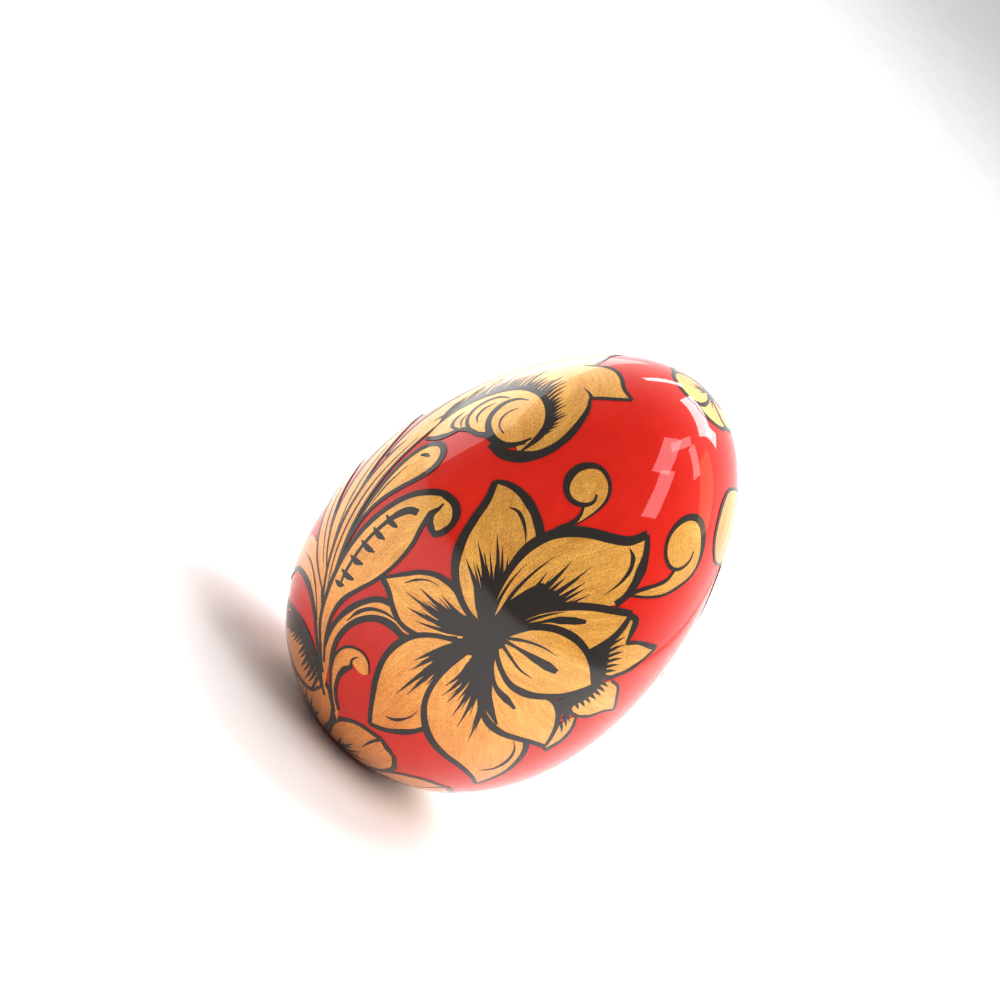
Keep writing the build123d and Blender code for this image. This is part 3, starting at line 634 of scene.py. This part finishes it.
def owners(points, layers):
    """The topmost layer over each point, or -1."""
    owner = np.full(len(points), -1)
    for number in range(len(layers) - 1, -1, -1):
        outline = layers[number].outline
        low, high = outline.min(0), outline.max(0)
        near = np.flatnonzero((owner < 0) & (points >= low).all(1) & (points <= high).all(1))
        if len(near):
            owner[near[inside(points[near], outline)]] = number
    return owner


def partition(painting):
    """Triangles of the sheet, each with the layer that shows there."""
    layers = painting.layers
    outlines = [layer.outline for layer in layers]
    every = np.vstack(outlines)
    low, high = every.min(0), every.max(0)
    steps = [np.arange(low[axis], high[axis], GRID_STEP) for axis in (0, 1)]
    grid = np.stack(np.meshgrid(*steps), -1).reshape(-1, 2)
    grid = grid + rng.uniform(-GRID_JITTER, GRID_JITTER, grid.shape)
    grid = grid[owners(grid, layers) >= 0]
    edges = []
    count = 0
    for outline in outlines:
        size = len(outline)
        edges += [(count + k, count + (k + 1) % size) for k in range(size)]
        count += size
    points = [Vector(p) for p in np.vstack([every, grid])]
    found = delaunay_2d_cdt(points, edges, [], 0, CDT_EPSILON)
    flat = np.array([tuple(p) for p in found[0]])
    triangles = np.array([f for f in found[2] if len(f) == 3])
    corner = flat[triangles]
    first, second = corner[:, 1] - corner[:, 0], corner[:, 2] - corner[:, 0]
    double_area = first[:, 0] * second[:, 1] - first[:, 1] * second[:, 0]
    triangles[double_area < 0] = triangles[double_area < 0][:, ::-1]
    triangles = triangles[np.abs(double_area) > SLIVER]
    owner = owners(flat[triangles].mean(1), layers)
    return flat, triangles[owner >= 0], owner[owner >= 0]


class Film:
    """A closed mesh of paint, gathered piece by piece."""

    def __init__(self):
        self.points, self.faces, self.normals, self.brush = [], [], [], []
        self.count = 0

    def add(self, painting, flat, triangles, depth, sector=None, spine=None, mark=0.0):
        """One area of the sheet as a closed film, from its depth down to the bottom of the films. A
        sector keeps it between two meridians; the mark tells brush strokes apart."""
        used, back = np.unique(triangles, return_inverse=True)
        triangles = back.reshape(-1, 3)
        xy = flat[used]
        on_egg = painting.sheet.place(xy)
        if sector is not None:
            middle, half = sector
            angle = np.arctan2(on_egg[:, 0], -on_egg[:, 1]) - middle
            angle = np.clip((angle + math.pi) % (2 * math.pi) - math.pi, -half, half) + middle
            radius = np.hypot(on_egg[:, 0], on_egg[:, 1])
            on_egg[:, 0], on_egg[:, 1] = radius * np.sin(angle), -radius * np.cos(angle)
        lowest = COAT_LIFT + FILM_MARGIN
        on_egg[:, 2] = np.maximum(on_egg[:, 2], lowest)
        wanted = np.sqrt(np.maximum(radius_squared(on_egg[:, 2])[0], 0.0))
        keep = wanted / np.maximum(np.hypot(on_egg[:, 0], on_egg[:, 1]), 1e-6)
        low = on_egg[:, 2] <= lowest + 1e-4
        on_egg[low, :2] *= keep[low, None]
        normal = surface_normal(on_egg)
        top, bottom = on_egg - normal * depth, on_egg - normal * FILM_BOTTOM
        size = len(used)
        edges = np.vstack([triangles[:, [0, 1]], triangles[:, [1, 2]], triangles[:, [2, 0]]])
        key = edges[:, 0] * size + edges[:, 1]
        rim = edges[~np.isin(key, edges[:, 1] * size + edges[:, 0])]
        walls = np.vstack([np.column_stack([rim[:, 1], rim[:, 0], rim[:, 0] + size]),
                           np.column_stack([rim[:, 1], rim[:, 0] + size, rim[:, 1] + size])])
        flat_faces = np.vstack([triangles[:, ::-1] + size, walls])
        self.points.append(np.vstack([top, bottom]))
        self.faces.append(np.vstack([triangles, flat_faces]) + self.count)
        self.normals.append(np.vstack([normal[triangles.ravel()], np.zeros((flat_faces.size, 3))]))
        brush = np.zeros((size, 3))
        if spine is not None:
            step = np.diff(spine, axis=0)
            length = np.maximum(np.linalg.norm(step, axis=1), 1e-9)
            start = np.concatenate([[0], np.cumsum(length)[:-1]])
            share = np.clip(((xy[:, None] - spine[None, :-1]) * step[None]).sum(2) / length**2, 0, 1)
            gap = xy[:, None] - (spine[None, :-1] + step[None] * share[..., None])
            nearest = np.linalg.norm(gap, axis=2).argmin(1)
            row = np.arange(size)
            gap = gap[row, nearest]
            way = step[nearest] / length[nearest][:, None]
            across = way[:, 0] * gap[:, 1] - way[:, 1] * gap[:, 0]
            forward = start[nearest] + share[row, nearest] * length[nearest]
            brush = np.column_stack([across, forward, np.full(size, mark)])
        self.brush.append(np.vstack([brush, brush]))
        self.count += 2 * size

    def build(self, name, material):
        points = np.vstack(self.points) * MM
        faces = np.vstack(self.faces)
        mesh = bpy.data.meshes.new(name)
        mesh.from_pydata(points.tolist(), [], faces.tolist())
        mesh.polygons.foreach_set("use_smooth", [True] * len(mesh.polygons))
        mesh.normals_split_custom_set(np.vstack(self.normals).tolist())
        brush = mesh.attributes.new("brush", "FLOAT_VECTOR", "POINT")
        brush.data.foreach_set("vector", np.vstack(self.brush).astype(np.float32).ravel())
        mesh.materials.append(material)
        piece = bpy.data.objects.new(name, mesh)
        bpy.context.scene.collection.objects.link(piece)
        return piece


films = {}


def cut(painting, ending, depths, sector=None):
    """Adds a painting's gold and black to the films of its motifs."""
    flat, triangles, owner = partition(painting)
    layers = painting.layers
    for motif in sorted({layer.motif for layer in layers}):
        numbers = {"black": [], "gold": []}
        for number, layer in enumerate(layers):
            if layer.motif == motif:
                numbers[layer.colour].append(number)
        film = films.setdefault(("black", motif + ending), Film())
        shown = triangles[np.isin(owner, numbers["black"])]
        film.add(painting, flat, shown, depths["black"], sector)
        film = films.setdefault(("gold", motif + ending), Film())
        for number in numbers["gold"]:
            shown = triangles[owner == number]
            if len(shown):
                mark = float(rng.uniform(0, 50))
                film.add(painting, flat, shown, depths["gold"], sector, layers[number].spine, mark)


# ---------------------------------------------------------------- materials
class Look:
    """A Principled material with helpers for its nodes."""

    def __init__(self, name, **values):
        self.material = bpy.data.materials.new(name)
        self.material.use_nodes = True
        self.tree = self.material.node_tree
        self.shader = self.tree.nodes["Principled BSDF"]
        for socket, value in values.items():
            self.shader.inputs[socket.replace("_", " ")].default_value = value

    def node(self, kind, **links):
        node = self.tree.nodes.new(kind)
        for name, value in links.items():
            socket = node.inputs[name.replace("_", " ")]
            if isinstance(value, bpy.types.NodeSocket):
                self.tree.links.new(value, socket)
            else:
                socket.default_value = value
        return node

    def object_space(self, scale=(1, 1, 1)):
        place = self.node("ShaderNodeTexCoord").outputs["Object"]
        return self.stretch(place, scale)

    def brush_space(self, scale):
        attribute = self.node("ShaderNodeAttribute")
        attribute.attribute_name = "brush"
        return self.stretch(attribute.outputs["Vector"], scale)

    def stretch(self, vector, scale):
        return self.node("ShaderNodeMapping", Vector=vector, Scale=scale).outputs["Vector"]

    def noise(self, vector, scale, detail, roughness):
        node = self.node("ShaderNodeTexNoise", Vector=vector, Scale=scale, Detail=detail,
                         Roughness=roughness)
        return node.outputs["Fac"]

    def ramp(self, factor, *stops):
        node = self.node("ShaderNodeValToRGB", Fac=factor)
        elements = node.color_ramp.elements
        while len(elements) < len(stops):
            elements.new(0.5)
        for element, (position, colour) in zip(elements, stops):
            element.position = position
            element.color = (*colour, 1) if isinstance(colour, tuple) else (colour, colour, colour, 1)
        return node.outputs["Color"]

    def mix(self, factor, first, second, kind="MIX"):
        node = self.tree.nodes.new("ShaderNodeMix")
        node.data_type = "RGBA"
        node.blend_type = kind
        for number, value in ((0, factor), (6, first), (7, second)):
            socket = node.inputs[number]
            if isinstance(value, bpy.types.NodeSocket):
                self.tree.links.new(value, socket)
            else:
                socket.default_value = value if isinstance(value, float) else (*value, 1)
        return node.outputs[2]

    def feed(self, socket, value):
        self.tree.links.new(value, self.shader.inputs[socket])

    def bump(self, socket, height, strength, distance):
        node = self.node("ShaderNodeBump", Height=height, Strength=strength, Distance=distance)
        self.feed(socket, node.outputs["Normal"])


def lacquered(name, roughness, specular, metallic=0.0):
    """A paint under the clear gloss lacquer: a smooth coat with a very slight waviness."""
    look = Look(name, Roughness=roughness, Metallic=metallic, Specular_IOR_Level=specular,
                Coat_Weight=1.0, Coat_Roughness=0.02, Coat_IOR=1.46)
    swell = look.noise(look.object_space(), 160.0, 2.0, 0.4)
    look.bump("Coat Normal", swell, 0.10, 0.0004)
    return look


def make_red():
    look = lacquered("red_ground", 0.55, specular=0.04)
    strokes = look.noise(look.object_space((1, 1, 0.22)), 420.0, 5.0, 0.65)
    cloud = look.noise(look.object_space(), 45.0, 3.0, 0.5)
    fine = look.ramp(strokes, (0.25, (0.53, 0.007, 0.002)), (0.75, (0.67, 0.013, 0.003)))
    broad = look.ramp(cloud, (0.3, (0.49, 0.006, 0.002)), (0.7, (0.73, 0.020, 0.004)))
    look.feed("Base Color", look.mix(0.35, fine, broad))
    return look.material


PAINTED_BOUNCE_FROM, PAINTED_BOUNCE_TO = 0.034, 0.010  # heights between which the gold is painted browner towards the foot, a painted warm bounce light, metres


def make_gold():
    look = lacquered("ochre_gold", 0.42, metallic=0.45, specular=0.5)
    streaks = look.noise(look.brush_space((4.2, 0.28, 1.0)), 1.0, 5.0, 0.7)
    wide = look.noise(look.brush_space((0.55, 0.16, 1.0)), 1.0, 2.0, 0.5)
    grain = look.noise(look.object_space(), 5200.0, 2.0, 0.7)
    tone = look.ramp(streaks, (0.28, (0.56, 0.225, 0.024)), (0.5, (0.83, 0.375, 0.050)),
                     (0.72, (1.0, 0.56, 0.115)))
    broad = look.ramp(wide, (0.3, (0.58, 0.24, 0.028)), (0.7, (0.94, 0.51, 0.10)))
    tone = look.mix(0.45, tone, broad)
    # painted warm bounce light: low on the egg the gold is multiplied towards brown-orange
    height = look.node("ShaderNodeSeparateXYZ", Vector=look.object_space()).outputs["Z"]
    low = look.node("ShaderNodeMapRange", Value=height, From_Min=PAINTED_BOUNCE_FROM, From_Max=PAINTED_BOUNCE_TO)
    bounce_tinted = look.mix(1.0, tone, (1.0, 0.70, 0.52), "MULTIPLY")
    tone = look.mix(low.outputs["Result"], tone, bounce_tinted)
    spark = look.ramp(grain, (0.40, 0.70), (0.64, 1.30))
    look.feed("Base Color", look.mix(0.8, tone, spark, "MULTIPLY"))
    look.bump("Normal", look.mix(0.5, streaks, grain), 0.35, 0.00006)
    return look.material


def make_black():
    look = lacquered("black_paint", 0.55, specular=0.05)
    drag = look.noise(look.object_space(), 900.0, 4.0, 0.65)
    warm = look.noise(look.object_space(), 130.0, 2.0, 0.5)
    tone = look.mix(warm, (0.023, 0.016, 0.011), (0.013, 0.014, 0.016))
    worn = look.ramp(drag, (0.45, 0.0), (0.85, 0.35))
    look.feed("Base Color", look.mix(worn, tone, (0.060, 0.024, 0.011)))
    return look.material


def make_wood():
    look = Look("bare_wood", Roughness=0.62, Specular_IOR_Level=0.35)
    grain = look.noise(look.object_space((1, 1, 0.06)), 900.0, 6.0, 0.7)
    rings = look.node("ShaderNodeTexWave", Vector=look.object_space((1, 1, 0.15)), Scale=210.0,
                      Distortion=2.5, Detail=3.0)
    rings.wave_type = "RINGS"
    rings.rings_direction = "Y"
    pale = look.ramp(grain, (0.3, (0.50, 0.32, 0.17)), (0.7, (0.68, 0.49, 0.29)))
    ringed = look.ramp(rings.outputs["Color"], (0.2, (0.44, 0.26, 0.13)), (0.8, (0.70, 0.52, 0.32)))
    look.feed("Base Color", look.mix(0.35, pale, ringed))
    look.bump("Normal", grain, 0.4, 0.0001)
    return look.material


def make_primer():
    look = Look("primer", Roughness=0.7, Specular_IOR_Level=0.3)
    dust = look.noise(look.object_space(), 1400.0, 4.0, 0.6)
    look.feed("Base Color", look.ramp(dust, (0.3, (0.62, 0.57, 0.48)), (0.7, (0.80, 0.76, 0.68))))
    look.bump("Normal", dust, 0.3, 0.00005)
    return look.material


RED, GOLD, BLACK = make_red(), make_gold(), make_black()

# ---------------------------------------------------------------- painted pieces
for turn, ending in ((0.0, "_front"), (180.0, "_back")):
    cut(paint_side(turn), ending, SIDE_DEPTHS)
for number in range(BASE_PETALS):
    middle = math.radians(BASE_TURN + 360 * number / BASE_PETALS)
    cut(paint_base_petal(number), "", RING_DEPTHS, (middle, math.pi / BASE_PETALS))
cut(paint_tip(), "", RING_DEPTHS)

for (colour, motif), film in films.items():
    piece = film.build(f"painted_{colour}_{motif}", GOLD if colour == "gold" else BLACK)
    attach(piece, "root")
    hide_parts(f"{colour}_{motif}")

# ---------------------------------------------------------------- red ground under the lacquer
AROUND = 288
UPWARD = 200


def lathe_ground():
    """A closed shell of red ground: rings from the foot up to the pole, outside and inside."""
    share = np.linspace(0, 1, UPWARD + 1)
    height = COAT_LIFT + (EGG_HEIGHT - COAT_LIFT) * (1 - np.cos(share * math.pi)) / 2
    value, _ = radius_squared(height)
    profile = np.column_stack([np.sqrt(np.maximum(value, 0)), np.zeros(UPWARD + 1), height])
    profile[-1, 0] = 0.0
    slant = surface_normal(profile)
    slant[-1] = (0, 0, 1)
    outer = profile - slant * GROUND_DEPTH
    inner = profile - slant * GROUND_INSIDE
    outer[0, 2] = inner[0, 2] = COAT_LIFT
    outer[-1, 0] = inner[-1, 0] = 0.0
    angle = np.linspace(0, 2 * math.pi, AROUND, endpoint=False)
    turned = np.column_stack([np.cos(angle), np.sin(angle)])
    points, normals, rows = [], [], []
    for path, sign in ((outer, 1.0), (inner, -1.0)):
        starts = []
        for (radius, _, z), (across, _, up) in zip(path[:-1], slant[:-1] * sign):
            starts.append(len(points))
            points += [(radius * c, radius * s, z) for c, s in turned]
            normals += [(across * c, across * s, up) for c, s in turned]
        pole = len(points)
        points.append((0, 0, path[-1, 2]))
        normals.append((0, 0, sign))
        rows.append((starts, pole))
    faces = []
    for (starts, pole), flip in zip(rows, (False, True)):
        for low, high in zip(starts, starts[1:]):
            for k in range(AROUND):
                after = (k + 1) % AROUND
                quad = (low + k, low + after, high + after, high + k)
                faces.append(quad[::-1] if flip else quad)
        for k in range(AROUND):
            cap = (starts[-1] + k, starts[-1] + (k + 1) % AROUND, pole)
            faces.append(cap[::-1] if flip else cap)
    outside, within = rows[0][0][0], rows[1][0][0]
    rim_from = len(faces)
    for k in range(AROUND):
        after = (k + 1) % AROUND
        faces.append((outside + after, outside + k, within + k, within + after))
    mesh = bpy.data.meshes.new("red_ground")
    mesh.from_pydata((np.array(points) * MM).tolist(), [], faces)
    mesh.polygons.foreach_set("use_smooth", [True] * len(faces))
    split = []
    for number, face in enumerate(faces):
        split += [(0, 0, -1) if number >= rim_from else normals[k] for k in face]
    mesh.normals_split_custom_set(split)
    mesh.materials.append(RED)
    piece = bpy.data.objects.new("red_ground_under_lacquer", mesh)
    bpy.context.scene.collection.objects.link(piece)
    return piece


ground = lathe_ground()
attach(ground, "root")
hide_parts("red_ground_coat", "clear_lacquer_coat")

for node, material in (("wood_core", make_wood()), ("primer_coat", make_primer())):
    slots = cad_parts[node].data.materials
    if len(slots):
        slots[0] = material
    else:
        slots.append(material)

# ---------------------------------------------------------------- floor, light and camera
FLOOR_SIZE = 8.0
CENTRE = Vector((0, 0, EGG_HEIGHT * MM / 2))


def make_floor():
    look = Look("paper", Roughness=0.9, Specular_IOR_Level=0.1)
    fibre = look.noise(look.object_space(), 60.0, 4.0, 0.5)
    look.feed("Base Color", look.ramp(fibre, (0.3, 0.80), (0.7, 0.84)))
    mesh = bpy.data.meshes.new("floor")
    half = FLOOR_SIZE / 2
    corners = [(-half, -half, 0), (half, -half, 0), (half, half, 0), (-half, half, 0)]
    mesh.from_pydata(corners, [], [(0, 1, 2, 3)])
    mesh.materials.append(look.material)
    piece = bpy.data.objects.new("floor", mesh)
    bpy.context.scene.collection.objects.link(piece)


def softbox(name, azimuth, elevation, distance, width, height, radiance, colour=(1.0, 1.0, 1.0),
            shine=True):
    """A rectangular light that faces the egg. Azimuth 0 is the camera's side, 90 is +X. One
    without shine lights the paint but isn't seen in the lacquer."""
    a, e = math.radians(azimuth), math.radians(elevation)
    way = Vector((math.sin(a) * math.cos(e), -math.cos(a) * math.cos(e), math.sin(e)))
    lamp = bpy.data.lights.new(name, "AREA")
    lamp.shape = "RECTANGLE"
    lamp.size, lamp.size_y = width, height
    lamp.energy = radiance * width * height * math.pi
    lamp.color = colour
    piece = bpy.data.objects.new(name, lamp)
    piece.visible_glossy = shine
    facing = way.to_track_quat("Z", "Y").to_matrix().to_4x4()
    piece.matrix_world = Matrix.Translation(CENTRE + way * distance) @ facing
    bpy.context.scene.collection.objects.link(piece)


ROSE = (1.0, 0.90, 0.97)

make_floor()
# azimuth and elevation in degrees, distance, width and height in metres, radiance
softbox("window_left", -124, 8, 1.6, 2.2, 0.85, 1.9)
softbox("skylight", 166, 64, 1.3, 0.66, 0.36, 13.0)
softbox("skylight_side", 144, 54, 1.3, 0.18, 0.30, 11.0)
softbox("top_glint", -148, 46, 1.3, 0.46, 0.10, 12.0)
softbox("tall_pane", 40, 69, 1.3, 0.30, 0.46, 4.6, ROSE)
softbox("tall_pane_arch", 72, 75, 1.3, 0.40, 0.14, 4.6, ROSE)
softbox("tall_pane_foot", 51, 51, 1.3, 0.25, 0.44, 4.4, ROSE)
softbox("side_pane", 97, 61, 1.3, 0.15, 0.40, 4.8)
softbox("side_glow", 112, 42, 1.4, 0.34, 0.80, 2.0, (1.0, 0.62, 0.30))
softbox("key", 50, 50, 1.6, 1.2, 1.2, 3.2, (1.0, 0.95, 0.88), shine=False)
softbox("fill", -25, 6, 1.6, 1.2, 0.30, 1.0, (1.0, 0.90, 0.82), shine=False)

# brightness of the surroundings, from the camera's side to the far side, along world Y
ROOM = {"From Min": -0.35, "From Max": 0.95, "To Min": 0.25, "To Max": 1.5}


def make_world():
    """A room that is bright behind the egg and dim on the camera's side."""
    world = bpy.data.worlds.new("room")
    bpy.context.scene.world = world
    world.use_nodes = True
    tree = world.node_tree
    place = tree.nodes.new("ShaderNodeTexCoord")
    split = tree.nodes.new("ShaderNodeSeparateXYZ")
    reach = tree.nodes.new("ShaderNodeMapRange")
    tree.links.new(place.outputs["Generated"], split.inputs[0])
    tree.links.new(split.outputs["Y"], reach.inputs["Value"])
    reach.interpolation_type = "SMOOTHSTEP"
    for socket, value in ROOM.items():
        reach.inputs[socket].default_value = value
    room = tree.nodes["Background"]
    room.inputs["Color"].default_value = (1.0, 0.99, 0.98, 1)
    tree.links.new(reach.outputs["Result"], room.inputs["Strength"])


make_world()
bpy.context.scene.view_settings.view_transform = "Standard"

PITCH = math.radians(14.0)
ROLL = math.radians(47.6)
AIM_LEFT = 0.00625
AIM_UP = 0.01692
CAMERA_DISTANCE = 0.5
SENSOR_WIDTH = 36.0
FOCAL_LENGTH = 132.57


def add_camera():
    lens = bpy.data.cameras.new("camera")
    lens.sensor_width = SENSOR_WIDTH
    lens.lens = FOCAL_LENGTH
    lens.clip_start, lens.clip_end = 0.01, 30.0
    forward = Vector((0, math.cos(PITCH), -math.sin(PITCH)))
    up = Vector((0, math.sin(PITCH), math.cos(PITCH)))
    right = Vector((1, 0, 0))
    image_right = right * math.cos(ROLL) + up * math.sin(ROLL)
    image_up = up * math.cos(ROLL) - right * math.sin(ROLL)
    place = CENTRE - forward * CAMERA_DISTANCE
    aim = (forward - image_right * AIM_LEFT + image_up * AIM_UP).normalized()
    across = aim.cross(image_up).normalized()
    over = across.cross(aim)
    camera = bpy.data.objects.new("camera", lens)
    turn = Matrix((across, over, -aim)).transposed().to_4x4()
    camera.matrix_world = Matrix.Translation(place) @ turn
    bpy.context.scene.collection.objects.link(camera)
    bpy.context.scene.camera = camera


add_camera()
